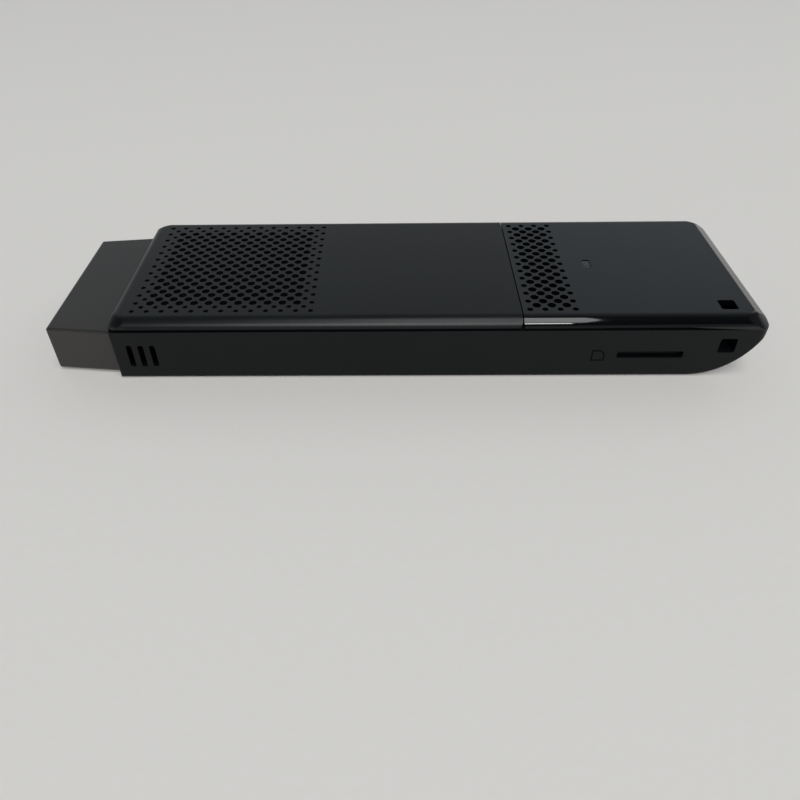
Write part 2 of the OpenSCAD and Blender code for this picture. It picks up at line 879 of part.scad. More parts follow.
// Switch's plunger, carried along by the button's stem
module switch_plunger() {
  color("#e6e2da")
    from_rear(button_x, plunger_y, button_z, plunger_out + plunger_in)
      square([plunger_w, plunger_h], center = true);
}

// Switch on the board behind the button
module power_switch() {
  pocket = plunger_in + button_travel + fit_gap;
  color("#4a4c4e")
    difference() {
      translate([button_x - switch_w / 2, switch_y - switch_d, board_top])
        cube([switch_w, switch_d, switch_h]);
      from_rear(button_x, switch_y + over, button_z, pocket + over)
        square([plunger_w + 2 * fit_gap, plunger_h + 2 * fit_gap], center = true);
    }
}

// Board with notches for the data ports and holes for its screws
module circuit_board() {
  color("#1f4d3a")
    translate([0, 0, board_z])
      linear_extrude(board_t)
        difference() {
          translate([board_x0, -board_y])
            square([board_x1 - board_x0, 2 * board_y]);
          for (x = [fast_port_x, data_port_x])
            translate([x - port_w / 2 - board_gap, port_back_y - board_gap])
              square([port_w + 2 * board_gap, port_len + over]);
          for (p = posts)
            translate(p)
              circle(d = screw_d + 2 * fit_gap);
        }
}

// Pan-head screws that hold the board on its posts
module board_screws() {
  color("#b9bcc0")
    for (p = posts)
      translate([p[0], p[1], 0]) {
        translate([0, 0, board_top])
          cylinder(d = screw_head_d, h = screw_head_h);
        translate([0, 0, board_z - screw_reach + loose_gap])
          cylinder(d = screw_d, h = board_top - board_z + screw_reach - loose_gap);
      }
}

// Where the plug's core starts inside the shell, and where the shell ends inside the housing
core_recess = 0.6;
core_x = body_x - plug_len + core_recess;
plug_seat = 0.6;
plug_seat_x = body_x + wall_t + plug_seat;

// Extrudes its children, drawn with Y to the right and Z up, along +X
module along_x(x, length) {
  translate([x, 0, plug_z])
    rotate([90, 0, 90])
      linear_extrude(length)
        children();
}

// Sheet-metal shell of the video plug, with latch windows above and below
module video_plug_shell() {
  window = 1.9;
  window_y = 3.2;
  window_start = 3.4;
  window_x = body_x - plug_len + window_start;
  color("#c4c6c8")
    difference() {
      along_x(body_x - plug_len, plug_seat_x - body_x + plug_len)
        difference() {
          keyed_outline(plug_w, plug_h, plug_key, 0);
          keyed_outline(plug_w, plug_h, plug_key, -plug_t);
        }
      for (side = [-1, 1])
        translate([window_x, side * window_y - window / 2, plug_z - plug_h])
          cube([window, window, 2 * plug_h]);
    }
}

// Slot in the plug's core that takes the socket's tongue
slot_w = 11.2;
slot_h = 1.9;
slot_len = 6.5;

// Moulded core of the plug: filler inside the shell and a block behind it
module video_plug_core() {
  block_rim = 0.5;
  color("#1a1a1c")
    difference() {
      union() {
        along_x(core_x, plug_seat_x - core_x)
          keyed_outline(plug_w, plug_h, plug_key, -plug_t - fit_gap / 2);
        along_x(plug_seat_x, plug_back - plug_seat_x)
          square([plug_w + 2 * block_rim, plug_h + 2 * block_rim], center = true);
      }
      along_x(core_x - over, slot_len + over)
        square([slot_w, slot_h], center = true);
    }
}

// Two rows of contacts in the plug's slot, and their tails on the board
module video_plug_contacts() {
  pitch = 1;
  strip_w = 0.45;
  strip_inset = 0.4;
  tail_len = 1.6;
  upper_last = 9;
  lower_last = 8;
  color("#c9a24a")
    for (level = [-1, 1], i = [0:(level > 0 ? upper_last : lower_last)]) {
      y = (i - (level > 0 ? upper_last : lower_last) / 2) * pitch - strip_w / 2;
      translate([core_x + strip_inset, y, plug_z + (level > 0 ? slot_h / 2 - contact_t : -slot_h / 2)])
        cube([slot_len - 2 * strip_inset, strip_w, contact_t]);
      if (level > 0)
        translate([plug_back, y, board_top])
          cube([board_gap + tail_len, strip_w, contact_t]);
    }
}

// Shell of a data port at x, with a spring finger cut into its top and its bottom
module port_shell(x) {
  finger_w = 1.8;
  finger_len = 5;
  finger_x = 3;
  finger_start = 2.5;
  cut = 0.3;
  color("#b4b7ba")
    difference() {
      from_rear(x, port_mouth_y, port_z, port_len)
        difference() {
          rounded_rect(port_w, port_h, port_corner_r);
          rounded_rect(port_w - 2 * port_t, port_h - 2 * port_t, port_corner_r - port_t);
        }
      for (side = [-1, 1])
        translate([x + side * finger_x, port_mouth_y - finger_start - finger_len, port_z - port_h])
          difference() {
            translate([-finger_w / 2 - cut, 0, 0])
              cube([finger_w + 2 * cut, finger_len + cut, 2 * port_h]);
            translate([-finger_w / 2, -over, -over])
              cube([finger_w, finger_len + over, 2 * port_h + 2 * over]);
          }
    }
}

// Moulded block of a data port at x, with the tongue that carries its contacts
module port_tongue(x) {
  room = port_t + fit_gap / 2;
  from_rear(x, port_back_y + tongue_block, port_z, tongue_block)
    rounded_rect(port_w - 2 * room, port_h - 2 * room, port_corner_r - port_t);
  from_rear(x, port_mouth_y - tongue_recess, tongue_z, port_len - tongue_recess - tongue_block)
    square([tongue_w, tongue_t], center = true);
}

// Contacts under a data port's tongue at x: count of them, pitch apart, from start behind its front
module port_strips(x, count, pitch, strip_w, start, strip_len) {
  for (i = [0:count - 1])
    translate([x + (i - (count - 1) / 2) * pitch - strip_w / 2,
               port_mouth_y - tongue_recess - start - strip_len, tongue_z - tongue_t / 2 - contact_t])
      cube([strip_w, strip_len, contact_t]);
}

module fast_port_shell() {
  port_shell(fast_port_x);
}

module fast_port_tongue() {
  color("#2a62b8")
    port_tongue(fast_port_x);
}

// Four wide contacts and five fine ones at the tongue's front
module fast_port_contacts() {
  color("#c9a24a") {
    port_strips(fast_port_x, wide_count, wide_pitch, wide_w, fast_start, fast_len);
    port_strips(fast_port_x, fine_count, fine_pitch, fine_w, fine_start, fine_len);
  }
}

module data_port_shell() {
  port_shell(data_port_x);
}

module data_port_tongue() {
  color("#222326")
    port_tongue(data_port_x);
}

module data_port_contacts() {
  color("#c9a24a")
    port_strips(data_port_x, wide_count, wide_pitch, wide_w, data_start, data_len);
}

// Shell of the power inlet on the board's rear edge
module power_inlet_shell() {
  color("#b4b7ba")
    from_rear(inlet_x, port_mouth_y, inlet_z, inlet_len)
      difference() {
        keyed_outline(inlet_w, inlet_h, inlet_key, 0);
        keyed_outline(inlet_w, inlet_h, inlet_key, -port_t);
      }
}

// Sizes of the inlet's block and of its thin tongue
inlet_block = 1.4;
inlet_tongue_w = 3.8;
inlet_tongue_t = 0.65;

// Moulded block and tongue of the power inlet
module power_inlet_tongue() {
  color("#222326") {
    from_rear(inlet_x, port_mouth_y - inlet_len + inlet_block, inlet_z, inlet_block)
      keyed_outline(inlet_w, inlet_h, inlet_key, -port_t - fit_gap / 2);
    from_rear(inlet_x, port_mouth_y - tongue_recess, inlet_z, inlet_len - tongue_recess - inlet_block)
      square([inlet_tongue_w, inlet_tongue_t], center = true);
  }
}

// Five contacts on the inlet's tongue
module power_inlet_contacts() {
  pitch = 0.65;
  strip_w = 0.35;
  strip_len = 2.2;
  strip_inset = 0.3;
  color("#c9a24a")
    for (i = [-2:2])
      translate([inlet_x + i * pitch - strip_w / 2, port_mouth_y - tongue_recess - strip_inset - strip_len,
                 inlet_z - inlet_tongue_t / 2 - contact_t])
        cube([strip_w, strip_len, contact_t]);
}

// Moulded tray of the card socket, open to the slot, with a lane for the slider
module card_socket_base() {
  color("#1d1e20")
    difference() {
      translate([card_x0, card_mouth_y, board_top])
        cube([card_x1 - card_x0, card_len, card_base_h]);
      translate([card_x - card_channel_w / 2, card_mouth_y - over, board_top + card_floor_t])
        cube([card_channel_w + card_lane_w, card_len - card_rail_t + over, card_h]);
    }
}

// Folded sheet over the card socket, with a lock window
module card_socket_cover() {
  window = [4, 2.4];
  skirt = card_base_h - card_floor_t;
  color("#c4c6c8")
    difference() {
      translate([card_x0 - card_sheet_t, card_mouth_y, board_top + card_h - card_sheet_t - skirt])
        cube([card_x1 - card_x0 + 2 * card_sheet_t, card_len, card_sheet_t + skirt]);
      translate([card_x0, card_mouth_y - over, board_top])
        cube([card_x1 - card_x0, card_len + 2 * over, card_base_h]);
      translate([card_x - window[0] / 2, card_mouth_y + card_len / 2, board_top])
        cube([window[0], window[1], 2 * card_h]);
    }
}

// Eight contacts on the socket's floor
module card_contacts() {
  pitch = 1.1;
  strip_w = 0.5;
  strip_len = 4;
  strip_start = 4;
  last = 7;
  color("#c9a24a")
    for (i = [0:last])
      translate([card_x + (i - last / 2) * pitch - strip_w / 2, card_mouth_y + strip_start,
                 board_top + card_floor_t])
        cube([strip_w, strip_len, contact_t]);
}

// Push slider in its lane, with a nose that the card's end presses on
module card_slider() {
  z = board_top + card_floor_t + fit_gap / 2;
  h = card_base_h - card_floor_t - fit_gap;
  color("#e6e2da")
    translate([card_lane_x, slider_y1, z]) {
      translate([fit_gap, -slider_len, 0])
        cube([card_lane_w - 2 * fit_gap, slider_len, h]);
      translate([-slider_nose, -slider_nose_t, 0])
        cube([slider_nose + 2 * fit_gap, slider_nose_t, h]);
    }
}

// Wire spring behind the slider: rings of points along a helix about a line along Y
module card_spring() {
  steps = 8;
  sides = 6;
  rings = spring_turns * steps;
  coil_r = (card_base_h - card_floor_t) / 2 - fit_gap - spring_wire_d / 2;
  y0 = slider_y1 + spring_wire_d / 2 + fit_gap / 5;
  y1 = card_back_y - card_rail_t - spring_wire_d / 2 - fit_gap / 5;
  x = card_lane_x + card_lane_w / 2;
  z = board_top + (card_floor_t + card_base_h) / 2;
  points = [for (k = [0:rings], j = [0:sides - 1])
    let (turn = 360 * k / steps, roll = 360 * j / sides, reach = coil_r + spring_wire_d / 2 * cos(roll))
      [x + reach * cos(turn),
       y0 + (y1 - y0) * k / rings + spring_wire_d / 2 * sin(roll),
       z + reach * sin(turn)]];
  skin = [for (k = [0:rings - 1], j = [0:sides - 1])
    let (a = k * sides + j, b = k * sides + (j + 1) % sides)
      each [[a, b, a + sides], [b, b + sides, a + sides]]];
  caps = [[for (j = [sides - 1:-1:0]) j], [for (j = [0:sides - 1]) rings * sides + j]];
  color("#b9bcc0")
    polyhedron(points, concat(skin, caps));
}

// Processor: package with its bare die on top
module processor() {
  color("#2f3a34")
    translate([chip_x, chip_y, board_top]) {
      linear_extrude(chip_h - die_h)
        square(chip_side, center = true);
      translate([0, 0, chip_h - die_h])
        linear_extrude(die_h)
          square(die_side, center = true);
    }
}

// Soft pad between the die and the heat sink
module thermal_pad() {
  color("#8fa3ad")
    translate([chip_x, chip_y, board_top + chip_h])
      linear_extrude(pad_t)
        square(die_side, center = true);
}

// Plate under the fan and over the processor, with fins that stand between the side vents
module heat_sink() {
  arm_x0 = body_x + vent_x - vent_pitch / 2 - fin_t / 2;
  plate_x1 = chip_x + chip_side / 2 + plate_rim;
  plate_y0 = chip_y - chip_side / 2 - plate_rim;
  plate_y1 = chip_y + chip_side / 2 + plate_rim;
  color("#b87a4b") {
    translate([0, 0, plate_z])
      linear_extrude(plate_t)
        difference() {
          union() {
            translate([fan_x0, -fan_w / 2])
              square([fan_l, fan_w]);
            translate([fan_x1 - over, plate_y0])
              square([plate_x1 - fan_x1 + over, plate_y1 - plate_y0]);
            for (side = [-1, 1])
              translate([arm_x0, side > 0 ? fin_y0 : -outlet_outer_y - over])
                square([fan_x0 + over - arm_x0, outlet_outer_y + over - fin_y0]);
          }
          for (p = fan_ears)
            translate(p)
              circle(d = fan_screw_d + 2 * fit_gap);
        }
    for (side = [-1, 1], i = [0:vent_count])
      translate([arm_x0 + i * vent_pitch, side > 0 ? fin_y0 : -fin_y1, fin_z0])
        cube([fin_t, fin_y1 - fin_y0, fin_z1 - fin_z0]);
  }
}

// Four memory chips under the board, below the processor
module memory_chips() {
  color("#1b1c1e")
    for (i = [-1, 1], j = [-1, 1])
      translate([chip_x + i * (memory_len + memory_gap_x) / 2, chip_y + j * (memory_w + memory_gap_y) / 2,
                 board_z - memory_h])
        linear_extrude(memory_h)
          square([memory_len, memory_w], center = true);
}

// Storage chip under the board, below the wireless module
module storage_chip() {
  color("#1b1c1e")
    translate([radio_x1 - radio_len / 2, radio_y1 - radio_w / 2, board_z - storage_h])
      linear_extrude(storage_h)
        square([storage_len, storage_w], center = true);
}

// Wireless module: small board under a drawn can
module wireless_module() {
  base_t = 0.6;
  can_h = 1.3;
  rim = 0.6;
  color("#b9bcc0")
    translate([radio_x1 - radio_len / 2, radio_y1 - radio_w / 2, board_top]) {
      linear_extrude(base_t)
        square([radio_len, radio_w], center = true);
      translate([0, 0, base_t])
        linear_extrude(can_h)
          rounded_rect(radio_len - 2 * rim, radio_w - 2 * rim, rim);
    }
}

// Coils of the power stage under the shield
module power_coils() {
  side = 4;
  h = 1.6;
  core_d = 3.2;
  core_h = 0.2;
  color("#3a3a3c")
    for (i = [-1, 1])
      translate([shield_x + i * shield_len / 4, shield_y0 + shield_w / 2, board_top]) {
        linear_extrude(h)
          square(side, center = true);
        translate([0, 0, h])
          cylinder(d = core_d, h = core_h);
      }
}

// Drawn shield over the power stage, with breathing holes
module shield_can() {
  vent_d = 0.9;
  vent_step = 2.4;
  color("#c4c6c8")
    translate([shield_x, shield_y0 + shield_w / 2, board_top])
      difference() {
        linear_extrude(shield_h)
          rounded_rect(shield_len, shield_w, shield_r);
        translate([0, 0, -over])
          linear_extrude(shield_h - shield_t + over)
            square([shield_len - 2 * shield_t, shield_w - 2 * shield_t], center = true);
        for (i = [-2:2], j = [-1, 1])
          translate([i * vent_step, j * vent_step / 2, 0])
            cylinder(d = vent_d, h = 2 * shield_h);
      }
}

// Antenna films bonded under the end cover, one along each side
module antenna_films() {
  color("#9a6a3a")
    for (side = [-1, 1])
      translate([film_x0, side > 0 ? film_y1 - film_w : -film_y1, ceiling_z - film_t])
        cube([film_len, film_w, film_t]);
}

// Outline of the fan's frame and lid
module fan_outline() {
  translate([fan_mid, 0])
    rounded_rect(fan_l, fan_w, fan_corner_r);
}

// Frame of the blower: base, walls with two outlets towards the fins, and screw ears
module fan_frame() {
  color("#1d1e20")
    difference() {
      translate([0, 0, fan_z])
        linear_extrude(fan_lid_z - fan_z)
          fan_outline();
      translate([fan_mid, 0, fan_z + fan_base_t])
        cylinder(r = rotor_r + fan_room, h = body_h);
      for (side = [-1, 1])
        translate([fan_x0 - over, side > 0 ? outlet_inner_y : -outlet_outer_y, fan_z + fan_base_t])
          cube([fan_l / 2 + over, outlet_outer_y - outlet_inner_y, body_h]);
      for (p = fan_ears)
        translate([p[0], p[1], 0]) {
          cylinder(d = fan_screw_d + 2 * fit_gap, h = body_h);
          translate([0, 0, fan_head_z])
            cylinder(d = fan_head_d + 2 * fit_gap, h = body_h);
        }
    }
}

// Sheet lid of the blower with its round intake
module fan_lid() {
  intake_share = 0.75;
  intake_d = 2 * rotor_r * intake_share;
  color("#232426")
    translate([0, 0, fan_lid_z])
      linear_extrude(fan_lid_t)
        difference() {
          fan_outline();
          translate([fan_mid, 0])
            circle(d = intake_d);
          for (p = fan_ears)
            translate(p)
              circle(d = fan_head_d + 2 * fit_gap);
        }
}

// One impeller blade: a wall bent to an arc that leaves the hub straight outwards
module blade() {
  start = hub_r - hub_t / 2;
  sweep = asin((rotor_r - start - blade_t) / blade_bend_r);
  translate([start, -blade_bend_r, blade_z0])
    rotate(90 - sweep)
      rotate_extrude(angle = sweep)
        translate([blade_bend_r - blade_t / 2, 0])
          square([blade_t, rotor_z1 - blade_drop - blade_z0]);
}

// Impeller: hub cup, web and curved blades
module fan_rotor() {
  color("#26282a")
    translate([fan_mid, 0, 0])
      difference() {
        union() {
          translate([0, 0, rotor_z0])
            cylinder(r = hub_r, h = rotor_z1 - rotor_z0);
          translate([0, 0, rotor_z0])
            cylinder(r = web_r, h = web_t);
          for (i = [0:blade_count - 1])
            rotate(i * 360 / blade_count)
              blade();
        }
        translate([0, 0, rotor_z0 - over])
          cylinder(r = hub_r - hub_t, h = rotor_z1 - hub_t - rotor_z0 + over);
        cylinder(r = shaft_r + run_gap / 3, h = body_h);
      }
}

// Ring magnet inside the hub
module fan_magnet() {
  color("#55585c")
    translate([fan_mid, 0, rotor_z0])
      difference() {
        cylinder(r = hub_r - hub_t - run_gap / 3, h = rotor_z1 - hub_t - rotor_z0);
        translate([0, 0, -over])
          cylinder(r = hub_r - hub_t - magnet_t, h = body_h);
      }
}

// Shaft fixed in the hub
module fan_shaft() {
  color("#d0d2d4")
    translate([fan_mid, 0, fan_z + fan_base_t + run_gap])
      cylinder(r = shaft_r, h = rotor_z1 - fan_z - fan_base_t - run_gap);
}

// Sleeve bearing on the frame's base
module fan_bearing() {
  color("#b08d57")
    translate([fan_mid, 0, fan_z + fan_base_t])
      difference() {
        cylinder(r = bearing_r, h = bearing_top - fan_z - fan_base_t);
        translate([0, 0, -over])
          cylinder(r = shaft_r + run_gap, h = body_h);
      }
}

// Wound stator on the bearing, inside the magnet
module fan_stator() {
  pole_count = 6;
  yoke_t = 0.5;
  pole_w = 0.9;
  stator_r = hub_r - hub_t - magnet_t - loose_gap;
  stator_h = 1.2;
  color("#a8703c")
    translate([fan_mid, 0, fan_z + fan_base_t + rotor_gap])
      difference() {
        union() {
          cylinder(r = bearing_r + yoke_t, h = stator_h);
          intersection() {
            cylinder(r = stator_r, h = stator_h);
            for (i = [0:pole_count - 1])
              rotate(i * 360 / pole_count)
                translate([0, -pole_w / 2, 0])
                  cube([2 * stator_r, pole_w, stator_h]);
          }
        }
        translate([0, 0, -over])
          cylinder(r = bearing_r + run_gap / 3, h = body_h);
      }
}

// Screws that hold the fan and the heat sink on their standoffs
module fan_screws() {
  color("#b9bcc0")
    for (p = fan_ears)
      translate([p[0], p[1], 0]) {
        translate([0, 0, fan_head_z])
          cylinder(d = fan_head_d, h = fan_head_h);
        translate([0, 0, board_top + loose_gap])
          cylinder(d = fan_screw_d, h = fan_head_z - board_top - loose_gap);
      }
}

// Threaded standoffs on the board under the heat sink
module fan_standoffs() {
  rim = 0.6;
  color("#c9a24a")
    for (p = fan_ears)
      translate([p[0], p[1], board_top])
        difference() {
          cylinder(d = fan_screw_d + fit_gap + 2 * rim, h = plate_z - board_top);
          translate([0, 0, -over])
            cylinder(d = fan_screw_d + fit_gap, h = body_h);
        }
}

bottom_shell();
top_cover();
end_cover();
plug_cap();
light_pipe();
status_led();
power_button();
switch_plunger();
power_switch();
circuit_board();
board_screws();
video_plug_shell();
video_plug_core();
video_plug_contacts();
fast_port_shell();
fast_port_tongue();
fast_port_contacts();
data_port_shell();
data_port_tongue();
data_port_contacts();
power_inlet_shell();
power_inlet_tongue();
power_inlet_contacts();
card_socket_base();
card_socket_cover();
card_contacts();
card_slider();
card_spring();
processor();
thermal_pad();
heat_sink();
memory_chips();
storage_chip();
wireless_module();
power_coils();
shield_can();
antenna_films();
fan_frame();
fan_lid();
fan_rotor();
fan_magnet();
fan_shaft();
fan_bearing();
fan_stator();
fan_screws();
fan_standoffs();
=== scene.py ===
"""Looks of a stick computer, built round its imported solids.

Lengths are in metres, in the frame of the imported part: the plug points to -X, the side with the card
slot to -Y and the grilles upwards. Sizes that a maker would state are written in millimetres times MM.
"""

import math

import bpy
import numpy as np
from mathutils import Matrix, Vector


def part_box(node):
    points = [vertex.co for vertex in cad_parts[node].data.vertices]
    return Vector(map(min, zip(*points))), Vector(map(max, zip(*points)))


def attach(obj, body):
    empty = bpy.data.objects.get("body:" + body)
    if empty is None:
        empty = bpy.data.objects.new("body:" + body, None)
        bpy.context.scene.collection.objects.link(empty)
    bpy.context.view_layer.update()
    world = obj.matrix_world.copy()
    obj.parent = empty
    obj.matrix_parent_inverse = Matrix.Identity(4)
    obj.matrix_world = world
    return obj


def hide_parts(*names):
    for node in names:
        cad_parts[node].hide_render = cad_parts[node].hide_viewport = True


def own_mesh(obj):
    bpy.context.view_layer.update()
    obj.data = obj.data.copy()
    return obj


MM = 0.001

# Camera as fitted to the photograph: place, turns about X, Y and Z, lens and shift
CAMERA_PLACE = (-0.794 * MM, -118.394 * MM, 78.35 * MM)
CAMERA_TURNS = (48.657, 0.823, 0.706)
CAMERA_LENS = 31.56
SENSOR_WIDTH = 36.0
CAMERA_SHIFT = (0.02054, 0.01871)
CAMERA_NEAR = 2 * MM
CAMERA_FAR = 50.0

# Moulded plastic: share of the grain in the colour, values of cloud and grain that the colours span, and
# steps of detail in the clouds and in the grain
GRAIN_SHARE = 0.35
TONE_SPAN = (0.45, 0.95)
CLOUD_DETAIL = 3.0
GRAIN_DETAIL = 2.0

# Values of a noise that a finish's roughness spans, in plastic and in metal
NOISE_SPAN = (0.3, 0.7)

# Broken edges of mouldings: samples of their shading
EDGE_SAMPLES = 6

# Rounded corners of the top cover at the plug's end: reach of the blend, where it sets in along X, and
# samples of its shading
CORNER_BLEND = 0.9 * MM
CORNER_SPAN = (-47.6 * MM, -48.4 * MM)
CORNER_SAMPLES = 12

# Worked metal: how fast its streaks change along the work, against across it, steps of detail in them and
# strength of their relief
STREAK_DRAW = 0.05
STREAK_DETAIL = 4.0
STREAK_STRENGTH = 0.6

# Circuit board: size of a cell of its tracks, which holds four rows, bare margin round each track as a share
# of the cell, brightness of the brightest and the dullest track, height and strength of their relief, colours
# of the mask beside and over the tracks, and its roughness
TRACK_CELL_MM = 2.4
TRACK_MARGIN = 0.12
TRACK_TONES = (1.0, 0.8)
TRACK_HEIGHT = 0.03 * MM
TRACK_STRENGTH = 0.5
MASK_COLOURS = ("#0a2c1e", "#174631")
MASK_ROUGHNESS = 0.35

# Floor: half its side, how far it lies under the solids so that no two faces meet, and its colours
FLOOR_HALF = 1.2
FLOOR_DROP = 0.02 * MM
FLOOR_COLOURS = ("#f8f6f2", "#fbf9f6")

# Paper of the floor: size, detail, height and strength of its tooth, its roughness and its sheen
TOOTH_MM = 1.2
TOOTH_DETAIL = 2.0
TOOTH_HEIGHT = 0.05 * MM
TOOTH_STRENGTH = 0.4
PAPER_ROUGHNESS = 0.9
PAPER_SHEEN = 0.2

# The room's light goes by a ray's direction: its X is called reach, its Y depth and its Z height

# Room low down: brightness at the camera's side and elsewhere, the depths where one turns into the other,
# and the heights over which this light ends
HORIZON_LIGHT = (0.25, 0.5)
HORIZON_TURN = (-0.9, -0.3)
HORIZON_RISE = (0.22, 0.40)

# Room at both sides: brightness near the camera and far from it, the depths where one turns into the other,
# shares of the plug's side and the tail's side, and the reaches over which the sides begin
SIDE_LIGHT = (0.12, 1.65)
SIDE_TURN = (0.35, 0.75)
SIDE_SHARES = (0.5, 1.15)
SIDE_REACH = (0.44, 0.62)

# Room between the sides: least and greatest depth, brightness at shares of the way from the camera's side,
# past overhead, to the far side, and the cool tint of that light
DEPTH_ENDS = (-1.0, 1.0)
ROOM_LIGHT = ((0.0, 0.01), (0.5, 0.06), (0.9, 0.36))
ROOM_TINT = (0.92, 1.0, 1.06)

# Lamps above and behind the camera, at one distance: for each the lowest and the highest angle above the
# floor, its left and its right end as angles, and the brightness of its face
LAMP_DISTANCE = 4.0
LAMPS = {
    "softbox": (44.0, 88.0, -4.0, 16.3, 4.0),
    "strip_lamp": (33.0, 39.0, -13.0, 14.2, 19.0),
}

# Push spring behind the card: turns, wire thickness, steps in a turn and sides of the wire
SPRING_TURNS = 7
SPRING_WIRE = 0.14 * MM
SPRING_STEPS = 24
SPRING_SIDES = 10

# Card sign on the front wall: middle, size, corner cut, line width and height of the print
SIGN_MIDDLE = (34.40 * MM, 4.62 * MM)
SIGN_SIZE = (2.3 * MM, 2.2 * MM)
SIGN_CUT = 0.7 * MM
SIGN_LINE = 0.2 * MM
SIGN_PROUD = 0.02 * MM


def linear(hex_text):
    """Linear RGBA of an sRGB hex colour: each channel is divided by 12.92 when dark, and otherwise
    shifted by 0.055, divided by 1.055 and raised to 2.4."""
    channels = [int(hex_text[i:i + 2], 16) / 255 for i in (1, 3, 5)]
    plain = [c / 12.92 if c <= 0.04045 else ((c + 0.055) / 1.055) ** 2.4 for c in channels]
    return (*plain, 1.0)


def add(tree, kind, values=None, links=None, **settings):
    """Adds a node: settings are its own properties, values fill its sockets and links join them."""
    node = tree.nodes.new(kind)
    for name, value in settings.items():
        setattr(node, name, value)
    for name, value in (values or {}).items():
        node.inputs[name].default_value = value
    for name, source in (links or {}).items():
        tree.links.new(source, node.inputs[name])
    return node


def per_metre(size_mm):
    """Pattern scale that makes one cell of a pattern size_mm wide."""
    return 1.0 / (size_mm * MM)


def new_material(name):
    """An empty material, its tree and its output node."""
    material = bpy.data.materials.new(name)
    material.use_nodes = True
    material.node_tree.nodes.clear()
    output = add(material.node_tree, "ShaderNodeOutputMaterial")
    return material, material.node_tree, output


def blended_corner(tree, place, span):
    """Facing that goes from the surface's own normal to the mean of the normals within CORNER_BLEND, as the
    place along X goes from one end of span to the other, so that the corners there run on smoothly."""
    along = add(tree, "ShaderNodeSeparateXYZ", links={"Vector": place})
    past = add(tree, "ShaderNodeMapRange", {"From Min": span[0], "From Max": span[1]},
               {"Value": along.outputs["X"]})
    face = add(tree, "ShaderNodeNewGeometry")
    flowing = add(tree, "ShaderNodeBevel", {"Radius": CORNER_BLEND}, samples=CORNER_SAMPLES)
    facing = add(tree, "ShaderNodeMix",
                 links={"Factor": past.outputs["Result"], "A": face.outputs["Normal"],
                        "B": flowing.outputs["Normal"]}, data_type="VECTOR")
    return facing.outputs["Result"]


def moulded_plastic(name, colours, roughness, grain_mm, grain_depth_mm, edge_mm=0.0, cloud_mm=14.0,
                    specular=0.5, corner_span=None, surface=None):
    """Moulded plastic: a fine grain from the mould lifts the surface by grain_depth_mm, faint clouds of
    flow shift the colour from dark to light and the roughness with it, and edges are broken by edge_mm.
    Where corner_span is given, the corners past it along X blend into their neighbours. The grain is drawn
    somewhat coarser than a mould's own, so that it shows."""
    material, tree, output = new_material(name)
    place = add(tree, "ShaderNodeTexCoord").outputs["Object"]
    cloud = add(tree, "ShaderNodeTexNoise", {"Scale": per_metre(cloud_mm), "Detail": CLOUD_DETAIL},
                {"Vector": place})
    grain = add(tree, "ShaderNodeTexNoise", {"Scale": per_metre(grain_mm), "Detail": GRAIN_DETAIL},
                {"Vector": place})
    blend = add(tree, "ShaderNodeMath", {1: GRAIN_SHARE}, {0: grain.outputs["Fac"], 2: cloud.outputs["Fac"]},
                operation="MULTIPLY_ADD")
    tone = add(tree, "ShaderNodeMapRange", {"From Min": TONE_SPAN[0], "From Max": TONE_SPAN[1]},
               {"Value": blend.outputs[0]})
    tint = add(tree, "ShaderNodeMix", {"A": linear(colours[0]), "B": linear(colours[1])},
               {"Factor": tone.outputs["Result"]}, data_type="RGBA")
    rough = add(tree, "ShaderNodeMapRange",
                {"From Min": NOISE_SPAN[0], "From Max": NOISE_SPAN[1],
                 "To Min": roughness[0], "To Max": roughness[1]}, {"Value": cloud.outputs["Fac"]})
    bump = add(tree, "ShaderNodeBump", {"Distance": grain_depth_mm * MM}, {"Height": grain.outputs["Fac"]})
    if edge_mm > 0:
        edge = add(tree, "ShaderNodeBevel", {"Radius": edge_mm * MM}, samples=EDGE_SAMPLES)
        tree.links.new(edge.outputs["Normal"], bump.inputs["Normal"])
    if corner_span:
        tree.links.new(blended_corner(tree, place, corner_span), bump.inputs["Normal"])
    shader = add(tree, "ShaderNodeBsdfPrincipled", {"Specular IOR Level": specular, **(surface or {})},
                 {"Base Color": tint.outputs["Result"], "Roughness": rough.outputs["Result"],
                  "Normal": bump.outputs["Normal"]})
    tree.links.new(shader.outputs["BSDF"], output.inputs["Surface"])
    return material


def worked_metal(name, colours, roughness, streak_mm, along, depth_mm=0.0004):
    """Rolled, drawn or turned metal: streaks of width streak_mm, drawn out twenty times along one axis,
    shift the tone from dark to light and the roughness with it, and lift the surface by depth_mm."""
    material, tree, output = new_material(name)
    place = add(tree, "ShaderNodeTexCoord").outputs["Object"]
    scale = tuple(STREAK_DRAW if axis == along else 1.0 for axis in "XYZ")
    stretched = add(tree, "ShaderNodeMapping", {"Scale": scale}, {"Vector": place})
    streak = add(tree, "ShaderNodeTexNoise", {"Scale": per_metre(streak_mm), "Detail": STREAK_DETAIL},
                 {"Vector": stretched.outputs["Vector"]})
    tint = add(tree, "ShaderNodeMix", {"A": linear(colours[0]), "B": linear(colours[1])},
               {"Factor": streak.outputs["Fac"]}, data_type="RGBA")
    rough = add(tree, "ShaderNodeMapRange",
                {"From Min": NOISE_SPAN[0], "From Max": NOISE_SPAN[1],
                 "To Min": roughness[0], "To Max": roughness[1]}, {"Value": streak.outputs["Fac"]})
    bump = add(tree, "ShaderNodeBump", {"Strength": STREAK_STRENGTH, "Distance": depth_mm * MM},
               {"Height": streak.outputs["Fac"]})
    shader = add(tree, "ShaderNodeBsdfPrincipled", {"Metallic": 1.0},
                 {"Base Color": tint.outputs["Result"], "Roughness": rough.outputs["Result"],
                  "Normal": bump.outputs["Normal"]})
    tree.links.new(shader.outputs["BSDF"], output.inputs["Surface"])
    return material


